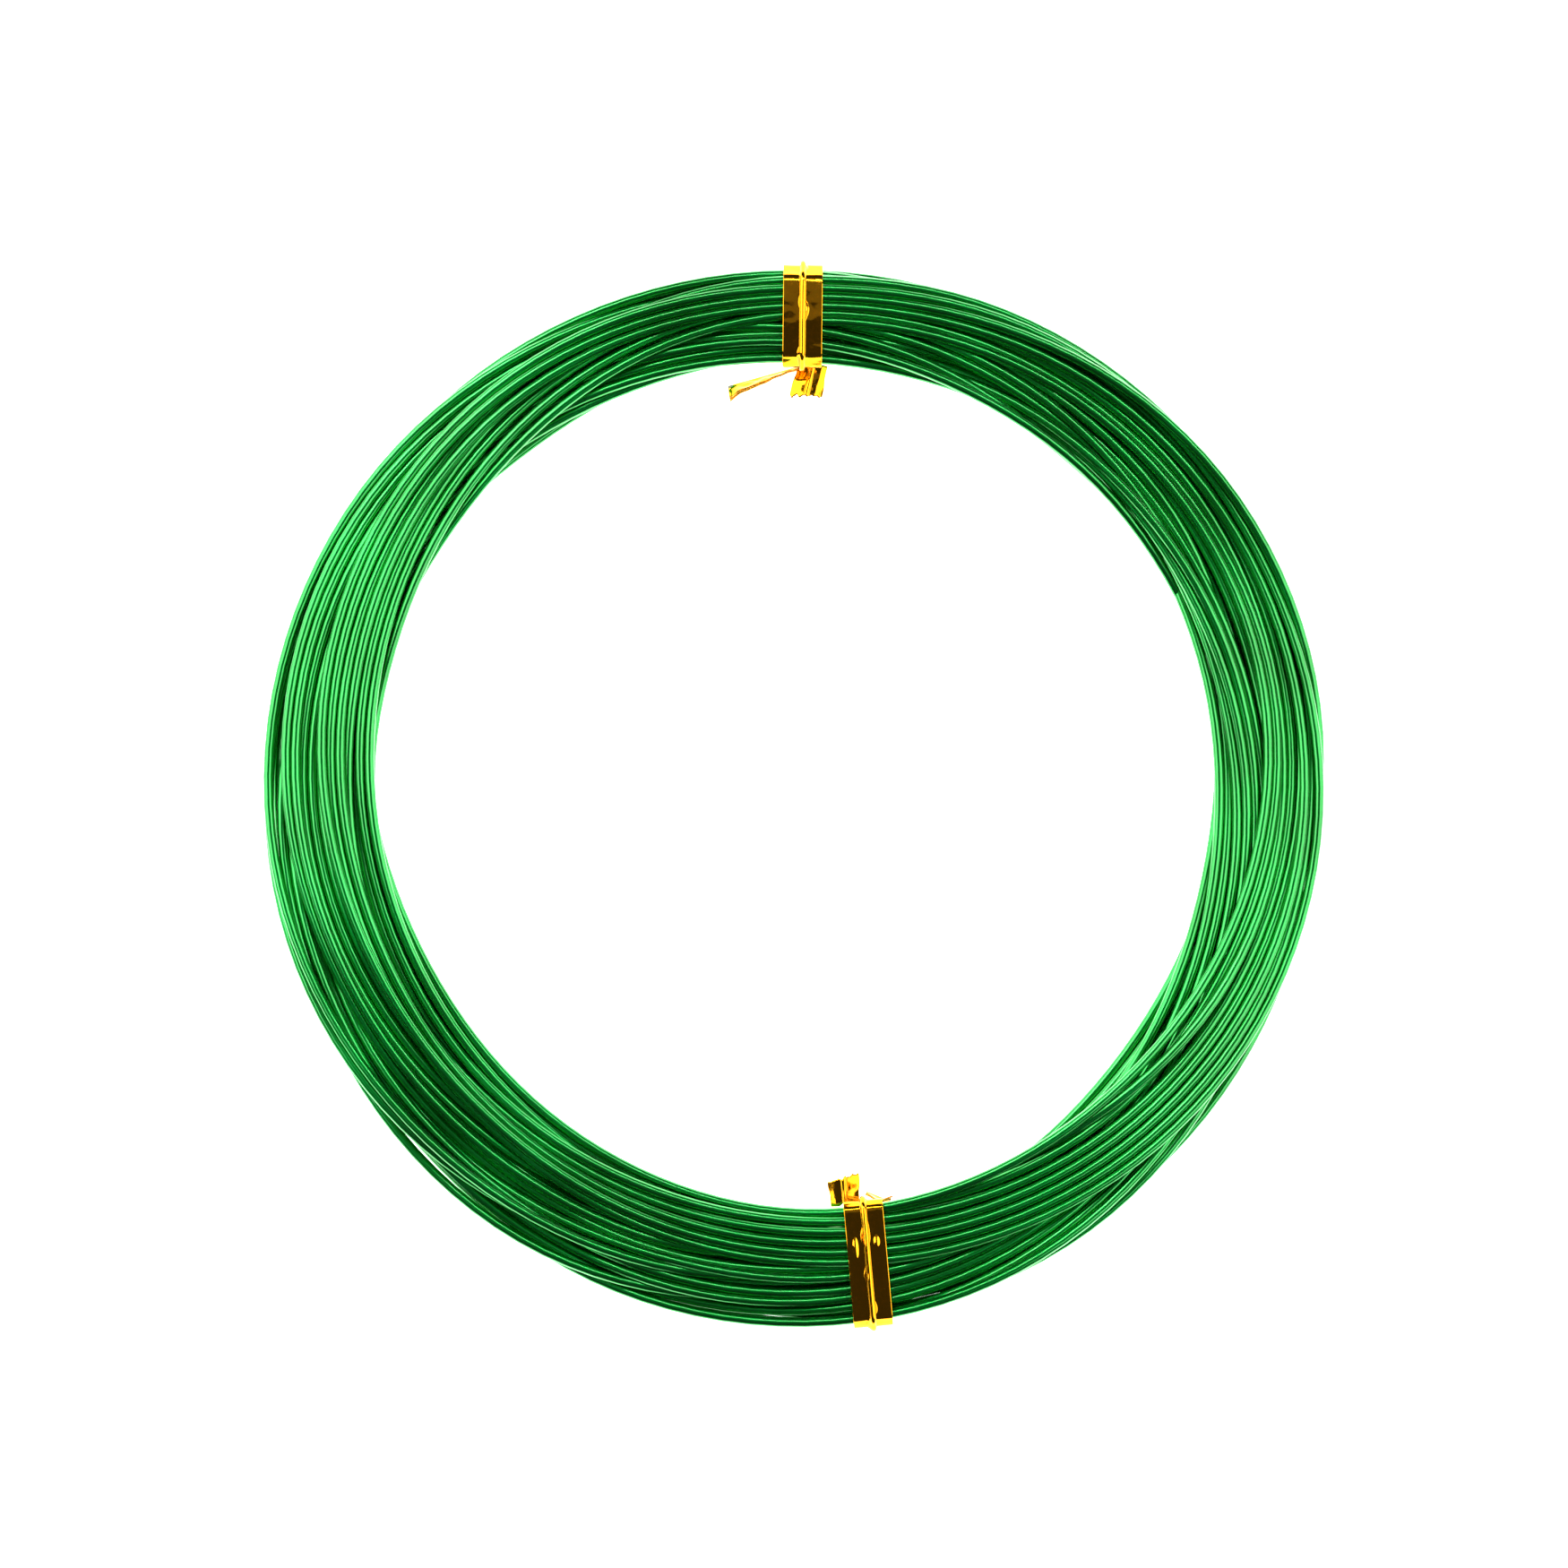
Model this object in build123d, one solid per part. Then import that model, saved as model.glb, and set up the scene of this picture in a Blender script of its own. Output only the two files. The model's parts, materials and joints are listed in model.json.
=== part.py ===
"""A coil of florist's aluminium wire, held by two foil twist ties.

The coil lies flat. The origin is the middle of the coil on the surface it lies on, +Z points up
through the eye of the coil, and the ties sit near +Y (back) and -Y (front). Sizes in millimetres.
"""
from build123d import *
import math
import os

# ---- the coil of wire ------------------------------------------------------------------------
OUTER_R = 54.45          # mean outer radius of the coil
BUNDLE_W = 11.75         # mean width of the bundle of turns, measured along a radius
COIL_H = 4.4             # height of the bundle above the surface it lies on
TOP_OUTER_ROUND = 1.7    # rounding of the bundle's four long edges, as the turns heap up
TOP_INNER_ROUND = 1.2
LOW_OUTER_ROUND = 1.9
INNER_FACE_H = 0.2       # upright part of the inner side, between the round above and the slope below
LOW_INNER_SLOPE = COIL_H - TOP_INNER_ROUND - INNER_FACE_H    # room for the ties' twists

# The turns are hand wound, so both outlines wander: (waves per turn, size in mm, angle of a crest)
OUTER_WAVES = [(2, 0.25, -8), (3, 0.25, 39)]
INNER_WAVES = [(1, 1.65, 85), (2, 0.6, -59), (3, 0.5, 32)]
OUTLINE_POINTS = 36

# ---- the twist ties --------------------------------------------------------------------------
TIE_W = 4.0              # width of the foil ribbon
FILM_T = 0.08            # thickness of each of its two films
CORE_D = 0.45            # soft steel wire laid between the films
CORE_FIT = 0.01          # the films close round the core with this clearance
TIE_GAP = 0.2            # clearance between a tie and the turns that it holds
FLOOR_GAP = 0.05         # the ties stay this far above the surface under the coil
TIE_TRAVEL = 5.0         # degrees that a tie can be pushed along the coil, each way
TRAVEL_GAP = 0.4         # room left beside a tie at the ends of its travel
LOW_BEND = 0.8           # bend radius of the ribbon where it turns under the turns

TWIST_D = 0.9            # thickness of the twist that closes a tie
TWIST_L = 0.9            # length of the twist
TAIL_GAP = 0.2           # clearance between a twist and each tail

FOLDED_H = 1.6           # height of a tail that is folded along its core and stands on edge
FOLDED_SET = 0.5         # the folded tail stands this far in from the twist's end
FLARED_W = 3.4           # width of a tail that flares out flat
FLARED_ROOT_W = 1.3      # and its width where it leaves the twist
FLARED_L = 2.8
FLARED_PITCH = 10.0      # degrees that it rises towards its end
FLARED_SET = 0.25        # the flared tail starts this much further in than the gap to the twist
NOTCH_L = 0.7            # depth of the tear in its end

# name, angle round the coil, lean from the radius, length and direction of the folded tail,
# direction of the flared tail (degrees, turning the tail towards the eye of the coil)
TIES = [
    ("back_tie", 89.4, 0.0, 7.0, 25.0, -12.0),
    ("front_tie", -81.4, -3.5, 3.2, 7.0, -30.0),
]

TIE_T = 2 * FILM_T + CORE_D + 2 * CORE_FIT
LIFT = TIE_T + TIE_GAP + FLOOR_GAP


def radius_at(mean, waves, angle):
    """Radius of a wandering outline at an angle in degrees."""
    return mean + sum(size * math.cos(math.radians(n * (angle - crest))) for n, size, crest in waves)


def outer_radius(angle):
    return radius_at(OUTER_R, OUTER_WAVES, angle)


def inner_radius(angle):
    return radius_at(OUTER_R - BUNDLE_W, INNER_WAVES, angle)


def outline(radius):
    """The closed face inside one wandering outline."""
    points = []
    for i in range(OUTLINE_POINTS):
        angle = 360 * i / OUTLINE_POINTS
        points.append(Vector(radius(angle), 0).rotate(Axis.Z, angle))
    return make_face(Spline(*points, periodic=True))


def tie_sector(angle):
    """Angles that a tie covers over its whole travel."""
    half = TIE_TRAVEL + math.degrees(TIE_W / 2 / (OUTER_R - BUNDLE_W))
    return [angle - half + 2 * half * i / 20 for i in range(21)]


def tie_span(angle):
    """Inner and outer reach of the turns as a tie meets them, over its whole travel."""
    inner = min(inner_radius(a) for a in tie_sector(angle))
    outer = max(outer_radius(a) for a in tie_sector(angle))
    return math.sqrt(inner**2 - (TIE_W / 2) ** 2), outer


def tie_place(angle, lean):
    """Frame of a tie: X out along the radius, Y along the turns, leaning about the bundle."""
    middle = sum(tie_span(angle)) / 2
    return Rot(0, 0, angle) * Pos(middle, 0, 0) * Rot(0, 0, lean) * Pos(-middle, 0, 0)


def coil():
    """The outer shape of all the turns, lifted where the ties pass underneath."""
    body = extrude(outline(outer_radius) - outline(inner_radius), COIL_H)
    top = body.faces().sort_by(Axis.Z)[-1].edges().sort_by(SortBy.LENGTH)
    body = fillet(top[-1], TOP_OUTER_ROUND)
    top = body.faces().sort_by(Axis.Z)[-1].edges().sort_by(SortBy.LENGTH)
    body = fillet(top[0], TOP_INNER_ROUND)
    low = body.faces().sort_by(Axis.Z)[0].edges().sort_by(SortBy.LENGTH)
    body = fillet(low[-1], LOW_OUTER_ROUND)
    low = body.faces().sort_by(Axis.Z)[0].edges().sort_by(SortBy.LENGTH)
    body = chamfer(low[0], LOW_INNER_SLOPE)
    for _, angle, lean, _, _, _ in TIES:
        travel = OUTER_R * math.sin(math.radians(TIE_TRAVEL))
        sway = BUNDLE_W / 2 * abs(math.sin(math.radians(lean)))
        hollow = Box(2 * BUNDLE_W, TIE_W + 2 * (travel + sway + TRAVEL_GAP), 2 * LIFT)
        body -= Rot(0, 0, angle) * Pos(OUTER_R - BUNDLE_W / 2, 0, 0) * hollow
    return body


def ribbon_sections():
    """Inner film, core and outer film of the flat ribbon. X across it, Y away from the turns."""
    core_y = FILM_T + CORE_FIT + CORE_D / 2
    over = CORE_D / 2 + CORE_FIT
    inner = Pos(0, FILM_T / 2) * Rectangle(TIE_W, FILM_T)
    core = Pos(0, core_y) * Circle(CORE_D / 2)
    wings = Pos(0, 1.5 * FILM_T) * Rectangle(TIE_W, FILM_T)
    ridge = Pos(0, (FILM_T + core_y) / 2) * Rectangle(2 * (over + FILM_T), core_y - FILM_T)
    ridge += Pos(0, core_y) * Circle(over + FILM_T)
    room = Pos(0, (FILM_T + core_y) / 2) * Rectangle(2 * over, core_y - FILM_T)
    room += Pos(0, core_y) * Circle(over)
    below = Pos(0, -TIE_W / 2 + FILM_T) * Rectangle(2 * TIE_W, TIE_W)
    return inner, core, wings + ridge - room - below


def folded_sections():
    """The same ribbon folded double along its core. X across the fold, Y from core to free edges."""
    over = CORE_D / 2 + CORE_FIT
    inner = Pos(0, (over + FOLDED_H) / 2) * Rectangle(2 * FILM_T, FOLDED_H - over)
    core = Circle(CORE_D / 2)
    sleeve = Circle(over + FILM_T) + Pos(0, FOLDED_H / 2) * Rectangle(4 * FILM_T, FOLDED_H)
    room = Circle(over) + Pos(0, FOLDED_H / 2) * Rectangle(2 * FILM_T, FOLDED_H + FILM_T)
    return inner, core, sleeve - room


def loop_path(angle):
    """The ribbon's way round the turns, from one side of the twist to the other."""
    inner, outer = tie_span(angle)
    bevel = TIE_GAP * math.sqrt(2)
    slope = inner + LOW_INNER_SLOPE - bevel
    low, high = LIFT - TIE_GAP, COIL_H + TIE_GAP
    left, right = inner - TIE_GAP, outer + TIE_GAP
    corners = [(slope - low, low), (right, low), (right, high), (left, high), (left, slope - left)]
    start, end = corners[0], corners[-1]
    middle = ((start[0] + end[0]) / 2, (start[1] + end[1]) / 2)
    shift = (TWIST_D / 2 + TIE_GAP) / math.sqrt(2)
    ends = [(middle[0] + shift, middle[1] - shift), (middle[0] - shift, middle[1] + shift)]
    points = [(x, 0, z) for x, z in [ends[0], *corners, ends[1]]]
    bends = [LOW_BEND, LOW_BEND, TOP_OUTER_ROUND + TIE_GAP, TOP_INNER_ROUND + TIE_GAP, LOW_BEND]
    return FilletPolyline(*points, radius=bends), middle


def loop(angle):
    """Inner film, core and outer film of a tie, wrapped round the turns."""
    path, _ = loop_path(angle)
    start = Plane(origin=path @ 0, x_dir=(0, -1, 0), z_dir=path % 0)
    return [sweep(start * section, path=path) for section in ribbon_sections()]


def twist(angle):
    """The twist that closes a tie: it points down and in from the sloping underside."""
    _, (x, z) = loop_path(angle)
    out = Plane(origin=(x, 0, z), x_dir=(0, 1, 0), z_dir=(-1, 0, -1))
    stub = extrude(out * Circle(TWIST_D / 2), TWIST_L)
    return fillet(stub.edges().filter_by(GeomType.CIRCLE), TWIST_D / 4)


def folded_root(angle):
    """Where the folded tail bends: beside the twist's free end."""
    _, (x, z) = loop_path(angle)
    end = TWIST_L / math.sqrt(2) + FOLDED_SET
    core_z = FLOOR_GAP + CORE_D / 2 + CORE_FIT + FILM_T + TAIL_GAP
    return Vector(x - end, TWIST_D / 2 + TAIL_GAP + CORE_D / 2, core_z)


def flared_root(angle):
    """Where the flared tail bends: in front of the twist's free end."""
    _, (x, z) = loop_path(angle)
    end = (TWIST_L + TWIST_D / 2) / math.sqrt(2)
    return Vector(x - end - TAIL_GAP - FLARED_SET, -TWIST_D / 2, z - end + TIE_T / 2)


def folded_tail(angle, length, yaw):
    """A tail folded double along its core, standing on edge."""
    place = Pos(folded_root(angle)) * Rot(0, 0, yaw) * Plane.ZX.location * Rot(0, 0, -90)
    return [place * extrude(section, length) for section in folded_sections()]


def flared_plan():
    """Outline of the flared tail: gathered at the twist, torn across its end."""
    half, root = FLARED_W / 2, FLARED_ROOT_W / 2
    edge = [(0, -root), (FLARED_L / 3, -half), (FLARED_L, -half), (FLARED_L - NOTCH_L, -half / 3)]
    edge += [(FLARED_L, half / 4), (FLARED_L - NOTCH_L / 2, half), (FLARED_L / 3, half), (0, root)]
    return make_face(Polyline(*edge, close=True))


def flared_tail(angle, yaw):
    """A tail left flat and flaring out towards the eye of the coil."""
    place = Pos(flared_root(angle)) * Rot(0, 0, 180 - yaw) * Rot(0, -FLARED_PITCH, 0)
    cutter = Pos(0, 0, -TIE_T) * extrude(flared_plan(), 2 * TIE_T)
    pieces = []
    for section in ribbon_sections():
        strip = extrude(Plane.YZ * Pos(0, -TIE_T / 2) * section, FLARED_L)
        pieces.append(place * (strip & cutter))
    return pieces


def save(name, shape):
    export_step(shape, f"parts/{name}.step")


def main():
    os.makedirs("parts", exist_ok=True)
    save("wire_coil", coil())
    layers = ["inner_film", "core_wire", "outer_film"]
    for name, angle, lean, folded_l, folded_yaw, flared_yaw in TIES:
        place = tie_place(angle, lean)
        for layer, shape in zip(layers, loop(angle)):
            save(f"{name}_{layer}", place * shape)
        save(f"{name}_twist", place * twist(angle))
        for layer, shape in zip(layers, folded_tail(angle, folded_l, folded_yaw)):
            save(f"{name}_folded_tail_{layer}", place * shape)
        for layer, shape in zip(layers, flared_tail(angle, flared_yaw)):
            save(f"{name}_flared_tail_{layer}", place * shape)
        for tail, root in (("folded", folded_root(angle)), ("flared", flared_root(angle))):
            at = (place * Pos(root)).position
            print(f"{name} {tail} tail bends at {at.X:.3f} {at.Y:.3f} {at.Z:.3f}")


main()
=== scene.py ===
"""A coil of green craft wire, bound by two gold foil twist ties, on the frame of its CAD part."""

import json
import math

import bmesh
import bpy
import numpy as np
from mathutils import Matrix, Vector, noise


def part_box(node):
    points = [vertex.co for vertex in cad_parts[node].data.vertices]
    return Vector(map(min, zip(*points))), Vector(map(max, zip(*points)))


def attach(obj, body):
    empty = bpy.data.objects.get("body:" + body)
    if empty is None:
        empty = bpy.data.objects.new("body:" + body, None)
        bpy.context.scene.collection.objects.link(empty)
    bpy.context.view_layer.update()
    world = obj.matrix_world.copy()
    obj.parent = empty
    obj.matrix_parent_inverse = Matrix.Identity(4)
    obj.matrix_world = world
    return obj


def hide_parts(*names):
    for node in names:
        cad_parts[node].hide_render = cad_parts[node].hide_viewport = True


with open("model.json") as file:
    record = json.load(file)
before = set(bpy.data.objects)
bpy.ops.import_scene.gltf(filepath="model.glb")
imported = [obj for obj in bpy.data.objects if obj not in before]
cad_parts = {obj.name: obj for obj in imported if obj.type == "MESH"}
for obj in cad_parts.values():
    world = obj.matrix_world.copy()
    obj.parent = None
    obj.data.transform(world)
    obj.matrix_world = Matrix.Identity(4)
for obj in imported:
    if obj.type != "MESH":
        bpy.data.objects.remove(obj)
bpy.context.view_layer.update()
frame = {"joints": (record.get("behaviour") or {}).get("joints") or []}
MM = 0.001

# ---- camera ----------------------------------------------------------------------------------
# A long lens straight above the coil, a little left and back of the coil's middle.
LENS = 100.0
SENSOR = 36.0
VIEW_W = 160.55 * MM
VIEW_X = -1.38 * MM
VIEW_Y = 1.24 * MM
VIEW_Z = 2.2 * MM        # height at which the view is that wide, half way up the coil
camera_data = bpy.data.cameras.new("camera")
camera_data.lens = LENS
camera_data.sensor_width = SENSOR
camera = bpy.data.objects.new("camera", camera_data)
camera.location = (VIEW_X, VIEW_Y, VIEW_Z + VIEW_W * LENS / SENSOR)
bpy.context.scene.collection.objects.link(camera)
bpy.context.scene.camera = camera

# ---- the wire's lay --------------------------------------------------------------------------
# One length of soft aluminium wire, wound by hand in four loose layers. Each layer's turns run
# side by side and swing across the bundle once a turn, so that the layers cross like a plait.
# Sizes in mm and angles in degrees, from the coil's middle.
WIRE_D = 1.0
TURNS = 33
STATIONS = 120                   # points in each turn
TIES = {"back_tie": (89.4, 0.0), "front_tie": (-81.4, -3.5)}    # place round the coil, and lean
OUTER_R = 54.45
BUNDLE_W = 11.75
OUTER_WAVES = [(2, 0.25, -8), (3, 0.25, 39)]
INNER_WAVES = [(1, 1.65, 85), (2, 0.6, -59), (3, 0.5, 32)]
LOW_INNER_SLOPE = 3.0            # the inner underside slopes at the ties, to clear the twists
LOW_ROUND = 1.4                  # elsewhere the underside is round at both edges
TOP_ROUND = 1.2                  # the turns heap up less towards the edges
TIED_OUTER_ROUND = 2.2           # and the ties press the edges rounder
TIED_INNER_ROUND = 1.5
BUNDLE_TOP = 4.6                 # the ties press the turns down to this height
FREE_TOP = 5.2                   # and far from the ties they may heap up to this one
# Turns, pitch, swing across the bundle and where it is widest, level, rise and where it is highest
LAYERS = [
    (9, 1.2, 0.6, 60, 0.0, 0.0, 0),
    (8, 0.95, 3.2, -125, 1.5, 0.6, -50),
    (8, 0.95, 4.3, 145, 1.5, 0.6, 130),
    (8, 0.9, 4.9, 53, 3.0, 0.0, 0),
]
LAYER_H = 1.5                    # first height of a layer above the last, before it settles
SWING_SPREAD = 0.35              # how much the swings of a layer's turns differ
CREST_SPREAD = 5                 # and the places where they are widest
SLOW_WAVE = 0.25                 # each turn's own wave, twice round the coil
UNEVEN = 0.02                    # differences in the first heights
EASE_FROM = 0.35                 # share of a turn after which it moves over to the next turn's place
MIDDLE_R = 48.35
HAND = np.random.RandomState(4)  # the winder's hand: no two turns lie quite alike
TIE_LIFT = 0.98                  # the ties' lower run holds the wire up by this much
TIE_REACH = 7.5                  # degrees beside a tie over which it does
TWIST_REACH = 8                  # and over which its twist needs room
STIFF = 10                       # the shortest bend that the wire makes, in stations
SETTLE_STEPS = 700
SETTLE_PULL = 0.02               # share of the way to its place that a turn is pulled in a step
SETTLE_FALL = 0.006              # and how far it sinks in the last steps
PUSHES = 3                       # times in a step that the turns are pushed apart
MOST_PUSHED = 2.2                # a turn among many others gives way to this many at most


def wander(mean, waves, angle):
    """Radius of a hand-wound outline: (waves in a turn, size, angle of a crest)."""
    return mean + sum(size * np.cos(np.radians(n * (angle - crest))) for n, size, crest in waves)


def from_turn_to_turn(values, turn):
    """One value for each turn, eased into the next turn's value over the turn's later part."""
    values = np.array([*values, values[-1]])
    first = np.minimum(turn.astype(int), TURNS - 1)
    ease = np.clip((turn - first - EASE_FROM) / (1 - EASE_FROM), 0, 1)
    ease = ease * ease * (3 - 2 * ease)
    return values[first] * (1 - ease) + values[first + 1] * ease


def toward(size, angle):
    return size * math.cos(math.radians(angle)), size * math.sin(math.radians(angle))


def sway(reaches, turn, around):
    """A value that is highest where each turn's reach points, and lowest opposite."""
    x, y = zip(*reaches)
    return from_turn_to_turn(x, turn) * np.cos(around) + from_turn_to_turn(y, turn) * np.sin(around)


def stiffen(line, reach):
    """Takes out the bends that are shorter than the wire makes, in stations."""
    straight = np.linspace(line[0], line[-1], len(line))
    bent = line - straight
    waves = np.fft.rfft(np.concatenate([bent, -bent[-2:0:-1]]))
    rate = np.arange(len(waves)) / (2 * len(line) - 2)
    return straight + np.fft.irfft(waves / (1 + (rate * reach) ** 4))[:len(line)]


def side_by_side(line, spare):
    """The line with a row for each station and a column for each turn that passes it."""
    return np.append(line, np.full(STATIONS - 1, spare)).reshape(TURNS + 1, STATIONS).T


def end_to_end(rows):
    return rows.T.reshape(-1)[:TURNS * STATIONS + 1].copy()


def push_apart(r, z, wire_d):
    """Moves turns that lie in each other apart, in the section through each station."""
    r, z = side_by_side(r, 1000.0), side_by_side(z, 0.0)
    dr = r[:, :, None] - r[:, None, :]
    dz = z[:, :, None] - z[:, None, :]
    gap = np.sqrt(dr * dr + dz * dz) + 1e-9
    push = np.where(gap < wire_d, (wire_d - gap) / gap / 2, 0.0)
    push[:, np.arange(TURNS + 1), np.arange(TURNS + 1)] = 0
    share = np.clip(MOST_PUSHED / np.maximum((push > 0).sum(2), 1), 0, 1)
    return end_to_end(r + (push * dr).sum(2) * share), end_to_end(z + (push * dz).sum(2) * share)


def edge_room(beyond, edge_round):
    """How far in a rounded edge keeps the wire's middle, at a height below the edge's own end."""
    inside = edge_round - WIRE_D / 2
    across = np.clip(beyond + inside, 0, inside)
    return edge_round - np.sqrt(inside**2 - across**2)


def near_ties(angle, reach):
    """1 beside a tie, falling to 0 over as much again."""
    near = np.zeros(len(angle))
    for place, _ in TIES.values():
        away = np.abs((angle - place + 180) % 360 - 180)
        near = np.maximum(near, np.clip(2 - away / reach, 0, 1))
    return near * near * (3 - 2 * near)


def wind():
    """Radius, height and angle of every station along the wire."""
    turn = np.arange(TURNS * STATIONS + 1) / STATIONS
    angle = TIES["back_tie"][0] + 360 * turn
    around = np.radians(angle)
    slots, swings, levels, rises = [], [], [], []
    way = 1
    for count, pitch, swing, crest, level, rise, top in LAYERS:
        slots += [way * pitch * (i - (count - 1) / 2) for i in range(count)]
        swings += [toward(swing + HAND.normal(0, SWING_SPREAD), crest + HAND.normal(0, CREST_SPREAD))
                   for _ in range(count)]
        levels += [level] * count
        rises += [toward(rise, top)] * count
        way = -way
    goal = MIDDLE_R + from_turn_to_turn(slots, turn) + sway(swings, turn, around)
    phase = from_turn_to_turn(HAND.uniform(0, 2 * math.pi, TURNS), turn)
    goal += SLOW_WAVE * np.sin(2 * around + phase)
    z = WIRE_D / 2 + LAYER_H * (from_turn_to_turn(levels, turn) + sway(rises, turn, around))
    z += UNEVEN * HAND.rand(len(turn))
    inner = wander(OUTER_R - BUNDLE_W, INNER_WAVES, angle)
    outer = wander(OUTER_R, OUTER_WAVES, angle)
    lifted, sloped = near_ties(angle, TIE_REACH), near_ties(angle, TWIST_REACH)
    floor = WIRE_D / 2 + TIE_LIFT * lifted
    lid = FREE_TOP - (FREE_TOP - BUNDLE_TOP) * lifted - WIRE_D / 2
    top_inner = TOP_ROUND + (TIED_INNER_ROUND - TOP_ROUND) * lifted
    top_outer = TOP_ROUND + (TIED_OUTER_ROUND - TOP_ROUND) * lifted
    slope_top = LOW_ROUND + (LOW_INNER_SLOPE - LOW_ROUND) * sloped + WIRE_D / math.sqrt(2)
    r = np.clip(goal, inner + WIRE_D / 2, outer - WIRE_D / 2)
    for step in range(SETTLE_STEPS):
        left = 1 - step / SETTLE_STEPS
        r += SETTLE_PULL * left * (goal - r)
        z -= SETTLE_FALL * (1 + left)
        r, z = stiffen(r, STIFF), stiffen(z, STIFF)
        for _ in range(PUSHES):
            r, z = push_apart(r, z, WIRE_D * min(1, 1.25 - 0.5 * left))
            z = np.clip(z, floor, lid)
            slope = np.maximum(WIRE_D / 2, slope_top - z)
            slope = np.maximum(slope, edge_room(z - lid, top_inner))
            curve = edge_room(WIRE_D / 2 - z, LOW_ROUND)
            curve = np.maximum(curve, edge_room(z - lid, top_outer))
            r = np.clip(r, inner + slope, outer - curve)
    return stiffen(r, STIFF), np.maximum(stiffen(z, STIFF), WIRE_D / 2), around


def nurbs_line(name, points, order=3):
    """A NURBS curve with one open spline through these control points."""
    curve = bpy.data.curves.new(name, "CURVE")
    curve.dimensions = "3D"
    spline = curve.splines.new("NURBS")
    spline.points.add(len(points) - 1)
    for place, point in zip(spline.points, points):
        place.co = (*point, 1)
    spline.order_u = order
    spline.use_endpoint_u = True
    return curve


def curve_mesh(curve):
    """The mesh of a curve as it is evaluated now: a line, or a tube once it has a bevel."""
    holder = bpy.data.objects.new(curve.name, curve)
    bpy.context.scene.collection.objects.link(holder)
    bpy.context.view_layer.update()
    graph = bpy.context.evaluated_depsgraph_get()
    mesh = bpy.data.meshes.new_from_object(holder.evaluated_get(graph))
    bpy.data.objects.remove(holder)
    return mesh


def add_piece(name, mesh, materials):
    """A piece of the object, at the origin, smooth shaded."""
    piece = bpy.data.objects.new(name, mesh)
    bpy.context.scene.collection.objects.link(piece)
    mesh.materials.clear()
    for material in materials:
        mesh.materials.append(material)
    mesh.polygons.foreach_set("use_smooth", [True] * len(mesh.polygons))
    return piece


radii, heights, around = wind()
turn_points = np.stack([radii * np.cos(around), radii * np.sin(around), heights], 1) * MM
wire_curve = nurbs_line("green_wire", turn_points)
wire_curve.resolution_u = 1
wire_path = [v.co.copy() for v in curve_mesh(wire_curve).vertices]
wire_length = sum((b - a).length for a, b in zip(wire_path, wire_path[1:]))
wire_curve.twist_mode = "Z_UP"
wire_curve.bevel_depth = WIRE_D / 2 * MM
wire_curve.bevel_resolution = 8
wire_curve.use_fill_caps = True

# ---- the wire's finish -----------------------------------------------------------------------
# Anodised aluminium: a clear dyed skin over bright metal, with fine lines along the wire from
# the drawing die and cloudy patches where the skin took up more dye.
LINE_L = 12.0                    # length of the fine lines, mm
LINES_ROUND = 9.0                # and how many lie round the wire


def node_material(name):
    material = bpy.data.materials.new(name)
    material.use_nodes = True
    nodes = material.node_tree.nodes
    return material, nodes, material.node_tree.links, nodes["Principled BSDF"]


def add_node(nodes, kind, **values):
    """A shader node with these properties and input values."""
    node = nodes.new(kind)
    for name, value in values.items():
        if hasattr(node, name):
            setattr(node, name, value)
        else:
            node.inputs[name.replace("_", " ").capitalize()].default_value = value
    return node


green, nodes, links, shader = node_material("green_anodised")
shader.inputs["Metallic"].default_value = 1.0
shader.inputs["Coat Weight"].default_value = 0.9
shader.inputs["Coat IOR"].default_value = 1.6
shader.inputs["Coat Roughness"].default_value = 0.09
place = nodes.new("ShaderNodeTexCoord")
along = nodes.new("ShaderNodeMapping")
along.inputs["Scale"].default_value = (wire_length / (LINE_L * MM), LINES_ROUND, 1.0)
links.new(place.outputs["UV"], along.inputs["Vector"])
lines = add_node(nodes, "ShaderNodeTexNoise", Scale=1.0, Detail=3.0)
links.new(along.outputs["Vector"], lines.inputs["Vector"])
clouds = add_node(nodes, "ShaderNodeTexNoise", Scale=90.0, Detail=4.0)
links.new(place.outputs["Object"], clouds.inputs["Vector"])
dye = nodes.new("ShaderNodeValToRGB")
dye.color_ramp.elements[0].position = 0.3
dye.color_ramp.elements[0].color = (0.001, 0.28, 0.024, 1)
dye.color_ramp.elements[1].position = 0.72
dye.color_ramp.elements[1].color = (0.002, 0.48, 0.060, 1)
links.new(clouds.outputs["Fac"], dye.inputs["Fac"])
links.new(dye.outputs["Color"], shader.inputs["Base Color"])
rough = nodes.new("ShaderNodeMapRange")
rough.inputs["To Min"].default_value = 0.26
rough.inputs["To Max"].default_value = 0.31
links.new(lines.outputs["Fac"], rough.inputs["Value"])
links.new(rough.outputs["Result"], shader.inputs["Roughness"])
bump = nodes.new("ShaderNodeBump")
bump.inputs["Strength"].default_value = 0.015
bump.inputs["Distance"].default_value = 0.01 * MM
links.new(lines.outputs["Fac"], bump.inputs["Height"])
links.new(bump.outputs["Normal"], shader.inputs["Normal"])

wire = add_piece("green_wire", curve_mesh(wire_curve), [green])
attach(wire, "coil")
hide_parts("wire_coil")

# ---- the ties' foil --------------------------------------------------------------------------
# Two films of metallised plastic, dyed gold, with a bright mirror surface. They are laminated
# over a core wire, and carry small dents and crinkles from the hand.
TIE_W = 4.0
FILM_T = 0.08
FILM_AIR = 0.01                  # between the two films
CORE_D = 0.45
TIE_GAP = 0.1                    # clearance between a tie and the turns that it can pass over
TIE_TRAVEL = 5.0                 # degrees that a tie can be pushed along the coil, each way


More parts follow.
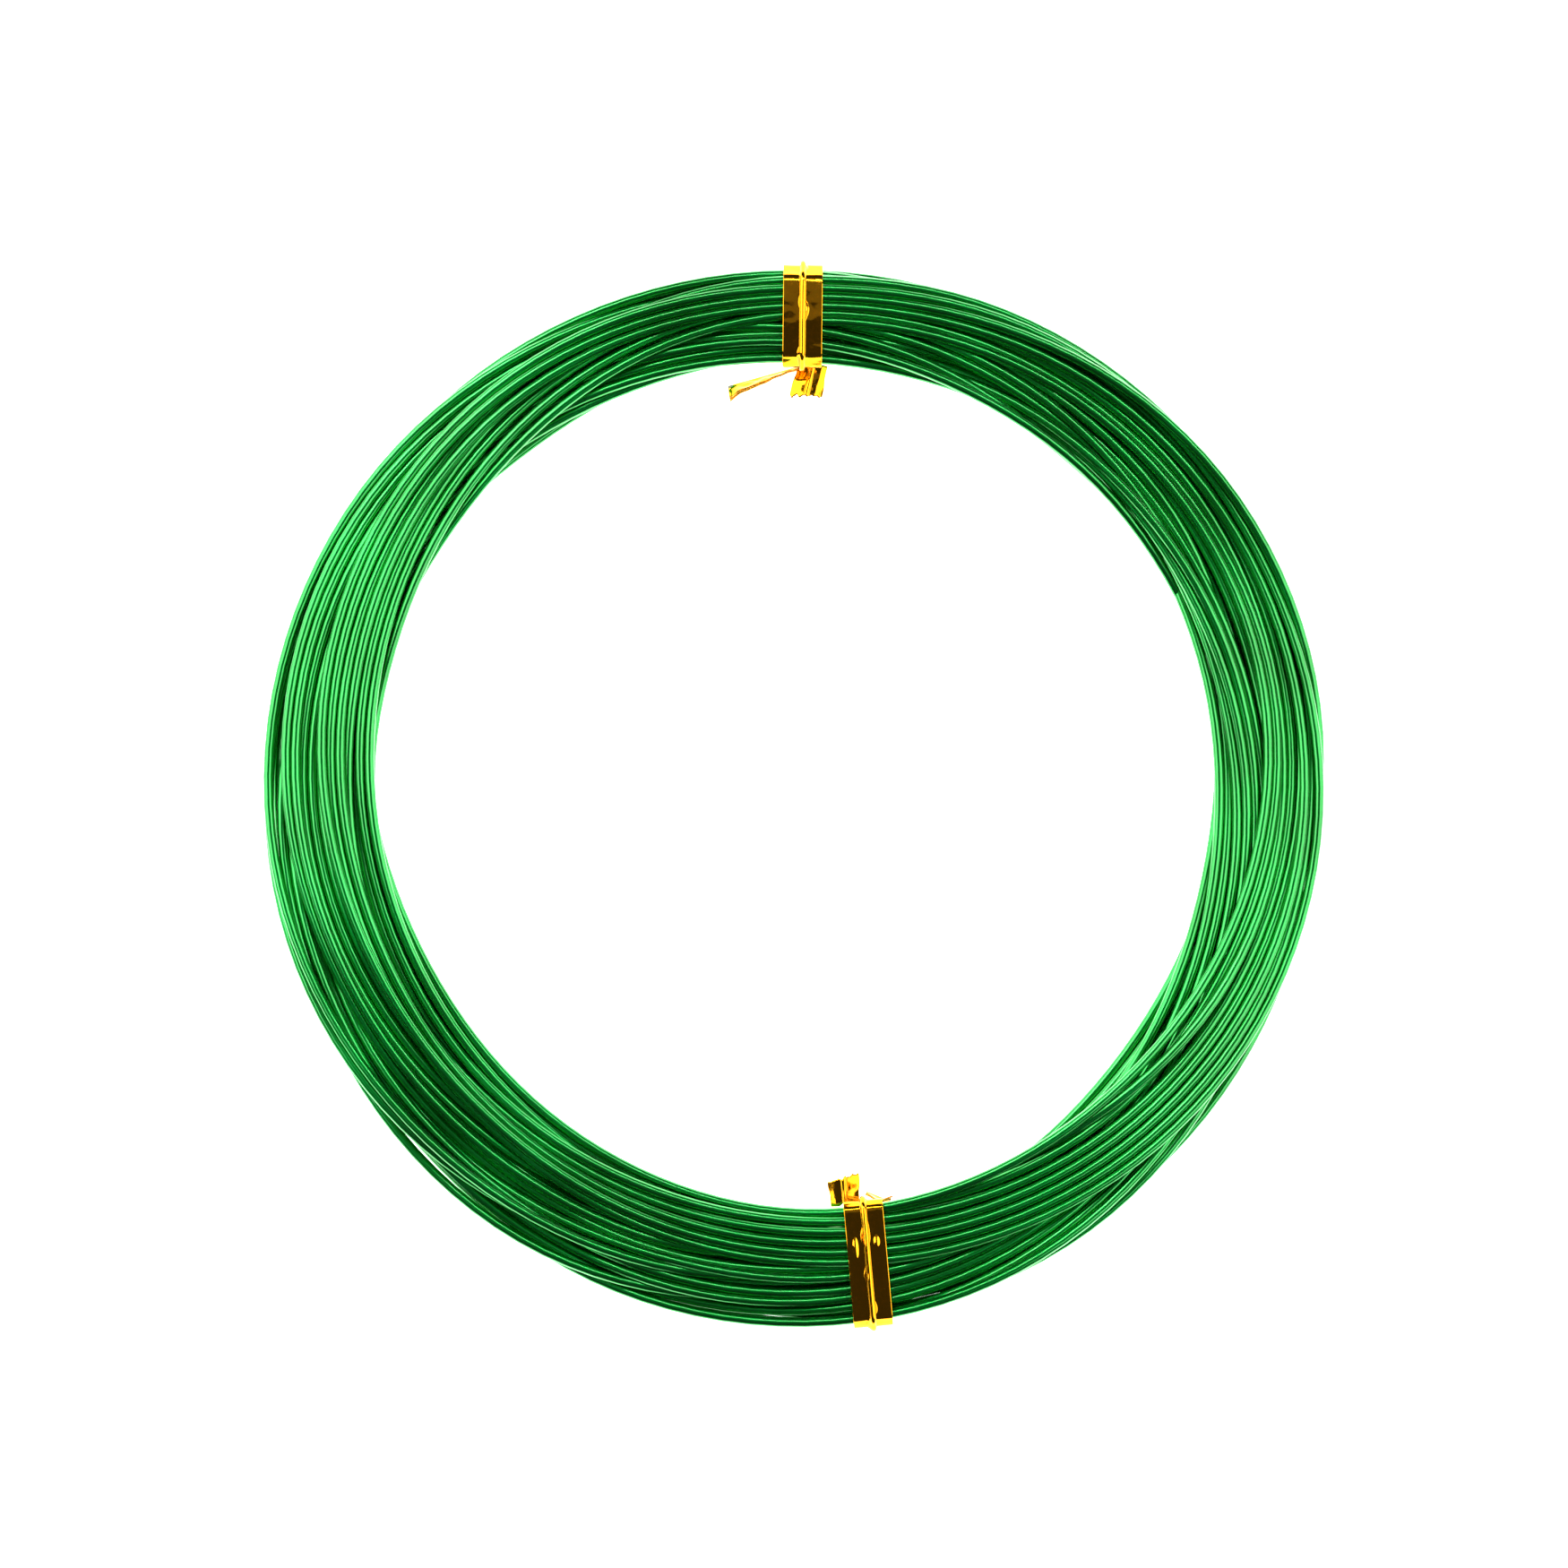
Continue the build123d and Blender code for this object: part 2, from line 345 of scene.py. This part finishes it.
def crinkle_group():
    """A height for foil, with soft dents and sharp creases, and a mask for where it is rubbed."""
    group = bpy.data.node_groups.new("foil_crinkle", "ShaderNodeTree")
    for name, default in (("Dent Size", 700.0), ("Crease Size", 500.0)):
        socket = group.interface.new_socket(name, in_out="INPUT", socket_type="NodeSocketFloat")
        socket.default_value = default
    group.interface.new_socket("Height", in_out="OUTPUT", socket_type="NodeSocketFloat")
    group.interface.new_socket("Rub", in_out="OUTPUT", socket_type="NodeSocketFloat")
    nodes, links = group.nodes, group.links
    inputs, outputs = nodes.new("NodeGroupInput"), nodes.new("NodeGroupOutput")
    place = nodes.new("ShaderNodeTexCoord")
    dents = add_node(nodes, "ShaderNodeTexNoise", Detail=2.0)
    creases = add_node(nodes, "ShaderNodeTexVoronoi", feature="DISTANCE_TO_EDGE")
    rubs = add_node(nodes, "ShaderNodeTexNoise", Scale=2600.0, Detail=5.0)
    for node, size in ((dents, "Dent Size"), (creases, "Crease Size")):
        links.new(inputs.outputs[size], node.inputs["Scale"])
        links.new(place.outputs["Object"], node.inputs["Vector"])
    links.new(place.outputs["Object"], rubs.inputs["Vector"])
    fold = nodes.new("ShaderNodeMapRange")
    fold.inputs["From Max"].default_value = 0.12
    fold.inputs["To Max"].default_value = 0.35
    links.new(creases.outputs["Distance"], fold.inputs["Value"])
    total = nodes.new("ShaderNodeMath")
    links.new(dents.outputs["Fac"], total.inputs[0])
    links.new(fold.outputs["Result"], total.inputs[1])
    links.new(total.outputs["Value"], outputs.inputs["Height"])
    links.new(rubs.outputs["Fac"], outputs.inputs["Rub"])
    return group


foil_crinkle = crinkle_group()


def gold_film(name, bright, deep, smooth, rough_most, dent):
    """Gold foil: bright where it is sound, deeper and duller where it is rubbed."""
    material, nodes, links, shader = node_material(name)
    shader.inputs["Metallic"].default_value = 1.0
    shader.inputs["Coat Weight"].default_value = 0.1
    shader.inputs["Coat Roughness"].default_value = 0.05
    crinkle = nodes.new("ShaderNodeGroup")
    crinkle.node_tree = foil_crinkle
    colour = nodes.new("ShaderNodeMix")
    colour.data_type = "RGBA"
    colour.inputs["A"].default_value = (*bright, 1)
    colour.inputs["B"].default_value = (*deep, 1)
    links.new(crinkle.outputs["Rub"], colour.inputs["Factor"])
    links.new(colour.outputs["Result"], shader.inputs["Base Color"])
    rough = nodes.new("ShaderNodeMapRange")
    rough.inputs["From Min"].default_value = 0.35
    rough.inputs["From Max"].default_value = 0.75
    rough.inputs["To Min"].default_value = smooth
    rough.inputs["To Max"].default_value = rough_most
    links.new(crinkle.outputs["Rub"], rough.inputs["Value"])
    links.new(rough.outputs["Result"], shader.inputs["Roughness"])
    bump = nodes.new("ShaderNodeBump")
    bump.inputs["Strength"].default_value = 0.6
    bump.inputs["Distance"].default_value = dent * MM
    links.new(crinkle.outputs["Height"], bump.inputs["Height"])
    links.new(bump.outputs["Normal"], shader.inputs["Normal"])
    return material


gold_face = gold_film("gold_face", (1.0, 0.50, 0.012), (1.0, 0.36, 0.006), 0.06, 0.16, 0.012)
gold_back = gold_film("gold_back", (0.95, 0.48, 0.05), (0.85, 0.32, 0.02), 0.2, 0.4, 0.015)

# ---- the ties' core wire ---------------------------------------------------------------------
# Soft iron wire, plain drawn, shut in between the films: its cut ends show at the tails.
steel, nodes, links, shader = node_material("core_steel")
shader.inputs["Metallic"].default_value = 1.0
crinkle = nodes.new("ShaderNodeGroup")
crinkle.node_tree = foil_crinkle
tone = nodes.new("ShaderNodeMix")
tone.data_type = "RGBA"
tone.inputs["A"].default_value = (0.50, 0.49, 0.47, 1)
tone.inputs["B"].default_value = (0.30, 0.27, 0.24, 1)
links.new(crinkle.outputs["Rub"], tone.inputs["Factor"])
links.new(tone.outputs["Result"], shader.inputs["Base Color"])
shader.inputs["Roughness"].default_value = 0.35

# ---- the ties' bands -------------------------------------------------------------------------
# Each tie is a length of the ribbon, taken round the bundle, pulled tight and closed with a twist
# under the bundle's inner edge. The core stands up as a ridge along its middle.
RIDGE_FOOT = 0.28                # from the core's middle to where the face film meets the back one
RIDGE_H = CORE_D + 0.02
RIDGE_OVER = CORE_D / 2 + 0.01   # radius of the face film where it wraps the core
LOOSE_FROM = 0.12                # the foot is looser where the noise passes this
LOOSE_MOST = 0.9                 # by this much of what is over it
RIDGE_GATHERED = 0.35            # share of the ridge's height where the ribbon is gathered
RIBBON_STEP = (0.12, 0.07)       # size of the mesh on the foil, along it and across
GATHER = 2.0                     # length over which the ribbon is gathered into the twist
GATHERED = 0.25                  # its share of the full width there
PLEAT_H = 0.16                   # the gathered foil lies in pleats
PLEAT_W = 0.9
SMOOTH_Z = 1.0                   # it lies smooth under the turns, up to this height
RUMPLED_Z = 1.5                  # and is fully rumpled this much higher
RUMPLES = (0.08, 0.03)           # its broad waves and its fine ones
FLUTTER = 0.05                   # of its two edges
RUMPLE_REST = 0.02
ENDS_APART = 0.22                # from the twist's middle to each of the ribbon's ends
# Directions, in degrees round the bundle's section, in which the ribbon is pulled flat over it
FLAT_WAYS = [255, 262, 270, 315, 360, 400, 447, 453, 500, 540, 555]
BEND_SHARES = (0.08, 0.25, 0.75, 0.92)    # shares of a stretch between which its bends start
TWIST_L = 0.9
TWIST_D = 0.9
TWIST_WAY = Vector((-1, 0, -1)).normalized()    # down and in from the bundle's inner edge
PUCKERS_OVER = 3.0               # only the top run is puckered
BAND_SEED = 4.3
# Puckers in the foil: distance from the coil's middle, place across, half length, half width, height
PUCKERS = {
    "back_tie": [],
    "front_tie": [(46.4, 1.15, 1.4, 0.3, 0.12), (45.9, -1.05, 0.7, 0.34, 0.11)],
}


def tie_place(name):
    """Frame of a tie: X out along the radius, Y along the turns, Z up."""
    place, lean = TIES[name]
    low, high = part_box(f"{name}_outer_film")
    middle = ((low + high) / 2).xy.length
    return (Matrix.Rotation(math.radians(place), 4, "Z") @ Matrix.Translation((middle, 0, 0))
            @ Matrix.Rotation(math.radians(lean), 4, "Z") @ Matrix.Translation((-middle, 0, 0)))


def twist_base(name):
    """Where a tie's twist starts, in the tie's frame."""
    low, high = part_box(f"{name}_twist")
    return tie_place(name).inverted() @ ((low + high) / 2) - TWIST_WAY * TWIST_L / 2 * MM


def turns_under(name):
    """The wire where a tie crosses it, anywhere on its travel, in the tie's frame."""
    reach = (TIE_W / 2 + math.pi * OUTER_R / STATIONS) * MM
    path = np.array(wire_path)
    found = []
    for slide in np.linspace(-TIE_TRAVEL, TIE_TRAVEL, 11):
        to_tie = tie_place(name).inverted() @ Matrix.Rotation(math.radians(-slide), 4, "Z")
        local = path @ np.array(to_tie.to_3x3()).T + np.array(to_tie.translation)
        found.append(local[(np.abs(local[:, 1]) < reach) & (local[:, 0] > 0)])
    return np.concatenate(found)


def loop_line(name):
    """The ribbon's inner line, evenly spaced: from the twist, under the turns, up and back over.

    It is pulled tight over them in flat stretches with a bend between each two."""
    turns = turns_under(name)
    base = twist_base(name)
    aside = Vector((1, 0, -1)).normalized() * ENDS_APART * MM
    ways = np.radians(FLAT_WAYS)
    clear = (WIRE_D / 2 + TIE_GAP) * MM
    hull = [max(turns[:, 0] * math.cos(w) + turns[:, 2] * math.sin(w)) + clear for w in ways]
    corners = [base + aside]
    for a, b, u, v in zip(ways, ways[1:], hull, hull[1:]):
        x = (u * math.sin(b) - v * math.sin(a)) / math.sin(b - a)
        z = (v * math.cos(a) - u * math.cos(b)) / math.sin(b - a)
        corners.append(Vector((x, 0, z)))
    corners.append(base - aside)
    points = [corners[0]]
    for start, end in zip(corners, corners[1:]):
        points += [start.lerp(end, share) for share in BEND_SHARES]
    points.append(corners[-1])
    curve = nurbs_line(f"{name}_line", points)
    curve.resolution_u = 12
    line = np.array([v.co for v in curve_mesh(curve).vertices])
    way = np.append(0, np.cumsum(np.linalg.norm(np.diff(line, axis=0), axis=1)))
    even = np.linspace(0, way[-1], round(way[-1] / (RIBBON_STEP[0] * MM)) + 1)
    return np.stack([np.interp(even, way, line[:, i]) for i in range(3)], 1), way[-1] / MM


def ribbon(length, width):
    """A flat, finely divided ribbon along +X from the origin, in mm, with its face up."""
    bm = bmesh.new()
    bmesh.ops.create_grid(bm, x_segments=round(length / RIBBON_STEP[0]),
                          y_segments=round(width / RIBBON_STEP[1]), size=0.5)
    bmesh.ops.scale(bm, vec=(length, width, 1), verts=bm.verts)
    bmesh.ops.translate(bm, vec=(length / 2, 0, 0), verts=bm.verts)
    return bm


def smooth_step(value):
    value = min(1.0, max(0.0, value))
    return value * value * (3 - 2 * value)


def ridge(along, across, seed):
    """Height of the face film over the core, with loose folds beside it here and there."""
    loose = noise.noise(Vector((along * 0.45, 3.0 if across > 0 else 9.0, seed)))
    foot = RIDGE_FOOT + LOOSE_MOST * max(0, loose - LOOSE_FROM)
    height = RIDGE_H * (1 + math.cos(math.pi * min(1, abs(across) / foot))) / 2
    if abs(across) < RIDGE_OVER:
        height = max(height, RIDGE_OVER + math.sqrt(RIDGE_OVER**2 - across**2))
    return height


def rumple(along, across, seed):
    """Small lasting waves that the hand leaves in the foil, never less than 0."""
    wave = noise.noise(Vector((along * 0.45, across * 0.4, seed))) * RUMPLES[0]
    wave += noise.noise(Vector((along * 1.1, across * 0.8, seed + 5))) * RUMPLES[1]
    flutter = noise.noise(Vector((along * 0.9, 2.0 if across > 0 else 8.0, seed))) * FLUTTER
    return max(0.0, wave + flutter * (across / TIE_W * 2) ** 4 + RUMPLE_REST)


def puckered(puckers, radius, across):
    """Height of the puckers that the thumb left in the foil, on top of the bundle."""
    height = 0
    for middle, side, long, wide, high in puckers:
        away = ((radius - middle) / long) ** 2 + ((across - side) / wide) ** 2
        height = max(height, high * max(0, 1 - away) ** 2)
    return height


def directions(line):
    """The direction of an evenly spaced line at each of its points."""
    tangent = np.gradient(line, axis=0)
    return tangent / np.linalg.norm(tangent, axis=1)[:, None]


def round_the_turns(bm, line, length, lift, ridged, puckers, seed):
    """Bends a flat ribbon round the bundle along its line."""
    tangent = directions(line)
    for vert in bm.verts:
        along, across, _ = vert.co
        i = min(len(line) - 1, max(0, round(along / length * (len(line) - 1))))
        outward = Vector((tangent[i][2], 0, -tangent[i][0]))
        end = min(along, length - along)
        free = smooth_step(end / GATHER)
        width = GATHERED + (1 - GATHERED) * free
        pleat = PLEAT_H * math.cos(across * 2 * math.pi / PLEAT_W) * (1 - free)
        under = smooth_step((line[i][2] / MM - SMOOTH_Z) / RUMPLED_Z)
        core = ridge(along, across, seed) if ridged else 0
        rise = lift + core * (RIDGE_GATHERED + (1 - RIDGE_GATHERED) * free)
        rise += rumple(along, across, seed) * free * under + max(0, pleat)
        if line[i][2] > PUCKERS_OVER * MM:
            rise += puckered(puckers, line[i][0] / MM, across)
        vert.co = Vector(line[i]) + outward * rise * MM - Vector((0, across * width * MM, 0))
    bmesh.ops.recalc_face_normals(bm, faces=bm.faces)


def film_piece(name, bm, place, material, body):
    """A film of a tie, given its thickness and put on its body in place of the plain one."""
    mesh = bpy.data.meshes.new(name)
    bmesh.ops.transform(bm, matrix=place, verts=bm.verts)
    bm.to_mesh(mesh)
    bm.free()
    piece = add_piece(f"{name}_foil", mesh, [material])
    wall = piece.modifiers.new("thickness", "SOLIDIFY")
    wall.thickness = FILM_T * MM
    wall.offset = 1
    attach(piece, body)
    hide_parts(name)


def core_piece(name, points, place, body):
    """A stretch of core wire through these points, in mm in the piece's own frame."""
    curve = nurbs_line(name, [place @ Vector(p) for p in points])
    curve.resolution_u = 3
    curve.twist_mode = "Z_UP"
    curve.bevel_depth = CORE_D / 2 * MM
    curve.bevel_resolution = 5
    curve.use_fill_caps = True
    piece = add_piece(f"{name}_steel", curve_mesh(curve), [steel])
    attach(piece, body)
    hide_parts(name)


for seed, name in enumerate(TIES):
    line, length = loop_line(name)
    place = tie_place(name)
    for film, lift, ridged, material, slot in (
            ("inner_film", 0.0, False, gold_back, "gold_film_back"),
            ("outer_film", FILM_T + FILM_AIR, True, gold_face, "gold_film_face")):
        bm = ribbon(length, TIE_W)
        round_the_turns(bm, line, length, lift, ridged, PUCKERS[name], BAND_SEED + 10 * seed)
        film_piece(f"{name}_{film}", bm, place, material, name)
    tangent = directions(line)
    outward = np.stack([tangent[:, 2], 0 * tangent[:, 0], -tangent[:, 0]], 1)
    middle = line + outward * (FILM_T + CORE_D / 2) * MM
    core_piece(f"{name}_core_wire", middle[4:-4:4], place, name)

# ---- the ties' twists ------------------------------------------------------------------------
# The ribbon's two ends are wound round each other one and a half turns, which closes the tie.
TWIST_TURNS = 1.5
TWIST_STEPS = 48
TWIST_WAIST = 0.74               # share of its thickness halfway between its two strands
STRAND = 0.30                    # and what each strand adds
for name in TIES:
    bm = bmesh.new()
    bmesh.ops.create_circle(bm, segments=40, radius=TWIST_D / 2 * MM)
    for vert in bm.verts:
        lobe = math.cos(2 * math.atan2(vert.co.y, vert.co.x))
        vert.co *= TWIST_WAIST + STRAND * lobe * lobe * lobe
    start = list(bm.edges)
    bmesh.ops.contextual_create(bm, geom=start)
    bmesh.ops.spin(bm, geom=start, cent=(0, 0, 0), axis=(0, 0, 1), steps=TWIST_STEPS,
                   dvec=(0, 0, TWIST_L * MM / TWIST_STEPS), angle=2 * math.pi * TWIST_TURNS)
    last = [edge for edge in bm.edges if edge.is_boundary]
    bmesh.ops.contextual_create(bm, geom=last)
    bmesh.ops.recalc_face_normals(bm, faces=bm.faces)
    turned = TWIST_WAY.to_track_quat("Z", "Y").to_matrix().to_4x4()
    place = tie_place(name) @ Matrix.Translation(twist_base(name)) @ turned
    bmesh.ops.transform(bm, matrix=place, verts=bm.verts)
    mesh = bpy.data.meshes.new(f"{name}_twist")
    bm.to_mesh(mesh)
    bm.free()
    twist = add_piece(f"{name}_twisted_ends", mesh, [gold_face])
    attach(twist, name)
    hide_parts(f"{name}_twist")

# ---- the ties' folded tails ------------------------------------------------------------------
# One end of each tie is folded double along its core and stands on its fold, leaning over towards
# the eye of the coil, with its tip turned over.
FOLD_LEAN = {"back_tie": 32, "front_tie": -14}    # degrees towards the eye
FOLD_REST = {"inner_film": 0.02, "outer_film": FILM_T + 0.03}    # from its middle to each film
FOLD_OPEN = 0.16                 # how far its two flaps spring apart at the tip
FOLDED_L = {"back_tie": 6.9, "front_tie": 1.9}
FOLDED_NECK = 0.5                # it starts this far behind its root, gathered into the twist
NECK_SHARE = 0.3                 # share of its height there
NECK_GROW = 1.3                  # and the length over which it reaches the rest
FOLDED_WAVE = 0.14
TIP_L = 1.2                      # length of the tip that is turned over
TIP_TURN = 0.5
FOLDED_TURNED = {"back_tie": -9, "front_tie": -34}    # degrees


def joint_of(name):
    return next(joint for joint in frame["joints"] if joint["child"] == name)


for seed, name in enumerate(TIES):
    tail = f"{name}_folded_tail"
    root = Vector(joint_of(tail)["pos_m"])
    low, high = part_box(f"{tail}_core_wire")
    way = (low + high) / 2 - root
    way.z = 0
    length = FOLDED_L[name]
    lean = math.radians(FOLD_LEAN[name] if way.cross(root).z > 0 else -FOLD_LEAN[name])
    place = (Matrix.Translation(root) @ Matrix.Rotation(math.radians(FOLDED_TURNED[name]), 4, "Z")
             @ way.to_track_quat("X", "Z").to_matrix().to_4x4() @ Matrix.Scale(MM, 4))
    for film, sleeve, material, slot in (
            ("inner_film", CORE_D / 2 - FILM_T, gold_back, "gold_film_back"),
            ("outer_film", CORE_D / 2 + FILM_AIR, gold_face, "gold_film_face")):
        bm = ribbon(length + FOLDED_NECK, TIE_W)
        for vert in bm.verts:
            along, across, _ = vert.co
            gathered = NECK_SHARE + (1 - NECK_SHARE) * smooth_step(along / NECK_GROW)
            along -= FOLDED_NECK
            side = 1 if across > 0 else -1
            quarter = sleeve * math.pi / 2
            spring = FOLD_OPEN * (along / length) ** 2
            rest = FOLD_REST[film] + spring
            if abs(across) < quarter:
                turn = across / sleeve
                y, z = sleeve * math.sin(turn), -sleeve * math.cos(turn)
            else:
                up = (abs(across) - quarter) * gathered
                close = smooth_step(up / 0.5)
                y, z = side * (sleeve * (1 - close) + rest * close), up
            wave = noise.noise(Vector((along * 0.8, z * 1.2, 30 + seed))) * FOLDED_WAVE
            tip = smooth_step((along - length + TIP_L) / TIP_L)
            y += wave * smooth_step(z / 0.8) + tip * TIP_TURN * max(0, z)
            z -= tip * TIP_TURN * max(0, z)
            leaning = lean * (0.25 + 0.75 * smooth_step(along / length))
            leaning *= smooth_step(z / 0.6 + 0.4)
            vert.co = (along + 0.25 * z * tip, y * math.cos(leaning) - z * math.sin(leaning),
                       z * math.cos(leaning) + y * math.sin(leaning))
        film_piece(f"{tail}_{film}", bm, place, material, tail)
    core = [(x, 0, 0) for x in (-FOLDED_NECK, length / 3, 2 * length / 3, length)]
    core_piece(f"{tail}_core_wire", core, place, tail)

# ---- the ties' flared tails ------------------------------------------------------------------
# The other end is left open: it comes out from under the bundle as a flap with a few hard
# creases, and is torn off unevenly across its end.
FLARED_W = 3.3
FLARED_L = {"back_tie": 2.4, "front_tie": 1.8}
FLARED_TURNED = {"back_tie": (-24, 0.5), "front_tie": (-30, 1.3)}    # degrees, and mm to its left
FLARED_START = -0.75             # it reaches back past its root, under the bundle's edge
FLARED_CORNER = 0.35             # and this much further on its left
FLARED_ROOT = 0.9                # share of its width there
FLARED_PITCH = 2                 # degrees that it rises
FLARED_LIFT = -0.3               # its height over its root
FLARED_CORE_Z = 0.03
FLARED_WAVE = 0.14
TEARS = (0.35, 0.12)             # its long and short tears
TEAR_SLANT = 0.2
# Place across it, and height of the crease or edge there
FLAP = [(-1.65, -0.26), (-0.35, 0.06), (0.0, 0.14), (0.9, 0.04), (1.65, -0.14)]
for seed, name in enumerate(TIES):
    tail = f"{name}_flared_tail"
    joint = joint_of(tail)
    across_it = Vector(joint["axis"])
    way = Vector((-across_it.y, across_it.x, 0))
    swing, aside = FLARED_TURNED[name]
    straight = way.to_track_quat("X", "Z").to_matrix().to_4x4()
    turned = Matrix.Rotation(math.radians(swing), 4, "Z") @ straight
    place = (Matrix.Translation(joint["pos_m"]) @ turned @ Matrix.Translation((0, aside * MM, 0))
             @ Matrix.Rotation(math.radians(-FLARED_PITCH), 4, "Y") @ Matrix.Scale(MM, 4))
    long = FLARED_L[name]
    places, heights_there = zip(*FLAP)
    for film, lift, material, slot in (
            ("inner_film", FLARED_LIFT, gold_back, "gold_film_back"),
            ("outer_film", FLARED_LIFT + FILM_T + FILM_AIR, gold_face, "gold_film_face")):
        bm = ribbon(long, FLARED_W)
        for vert in bm.verts:
            along, across, _ = vert.co
            start = FLARED_START - FLARED_CORNER * smooth_step(across / 0.8)
            along = start + along / long * (long - start)
            out = max(0, along) / long
            width = FLARED_ROOT + (1 - FLARED_ROOT) * smooth_step(out * 1.6)
            tear = noise.noise(Vector((across * 2.6, 3.0, seed * 7))) * TEARS[0]
            tear += noise.noise(Vector((across * 7.0, 5.0, seed * 7))) * TEARS[1] - TEAR_SLANT * across
            skewed = across + 0.25 * (out - 0.5)
            z = lift + float(np.interp(skewed, places, heights_there)) * (0.8 + 0.3 * out)
            z += noise.noise(Vector((along * 0.6, across * 0.5, 50 + seed))) * FLARED_WAVE
            z += (ridge(along, across, 90) if film == "outer_film" else 0) * 0.9
            vert.co = (along + tear * out**3, across * width, z)
        film_piece(f"{tail}_{film}", bm, place, material, tail)
    core = [(x, 0, FLARED_CORE_Z) for x in (0, long / 3, 2 * long / 3, long * 0.93)]
    core_piece(f"{tail}_core_wire", core, place, tail)

# ---- floor and light -------------------------------------------------------------------------
# A white sweep under the coil, with a soft light to its left and right, a strip light behind it
# and a dim ceiling.
FLOOR_R = 3.0
FLOOR_GLOW = 1.8
WALL_GREY = 0.035
mesh = bpy.data.meshes.new("floor")
bm = bmesh.new()
bmesh.ops.create_grid(bm, x_segments=1, y_segments=1, size=FLOOR_R)
bm.to_mesh(mesh)
bm.free()
white, nodes, links, shader = node_material("white_sweep")
shader.inputs["Base Color"].default_value = (0.9, 0.9, 0.9, 1)
shader.inputs["Roughness"].default_value = 0.9
shader.inputs["Emission Color"].default_value = (1, 1, 1, 1)
shader.inputs["Emission Strength"].default_value = FLOOR_GLOW
floor = add_piece("floor", mesh, [white])


def soft_light(name, place, size, power):
    """A rectangular light that faces the coil."""
    data = bpy.data.lights.new(name, "AREA")
    data.shape = "RECTANGLE"
    data.size, data.size_y = size
    data.energy = power
    light = bpy.data.objects.new(name, data)
    light.location = place
    light.rotation_euler = (-Vector(place)).to_track_quat("-Z", "Y").to_euler()
    bpy.context.scene.collection.objects.link(light)


soft_light("left_light", (-0.56, 0.22, 0.5), (0.8, 0.8), 6.4)
soft_light("right_light", (0.6, -0.06, 0.5), (0.8, 0.8), 5.6)
soft_light("strip_light", (0, 0.5, 0.75), (1.4, 0.06), 3.5)
soft_light("ceiling", (0, 0.72, 1.5), (2.0, 1.0), 0.7)
world = bpy.data.worlds.new("studio")
world.use_nodes = True
world.node_tree.nodes["Background"].inputs["Color"].default_value = (WALL_GREY, WALL_GREY, WALL_GREY, 1)
bpy.context.scene.world = world
bpy.context.scene.view_settings.view_transform = "Standard"
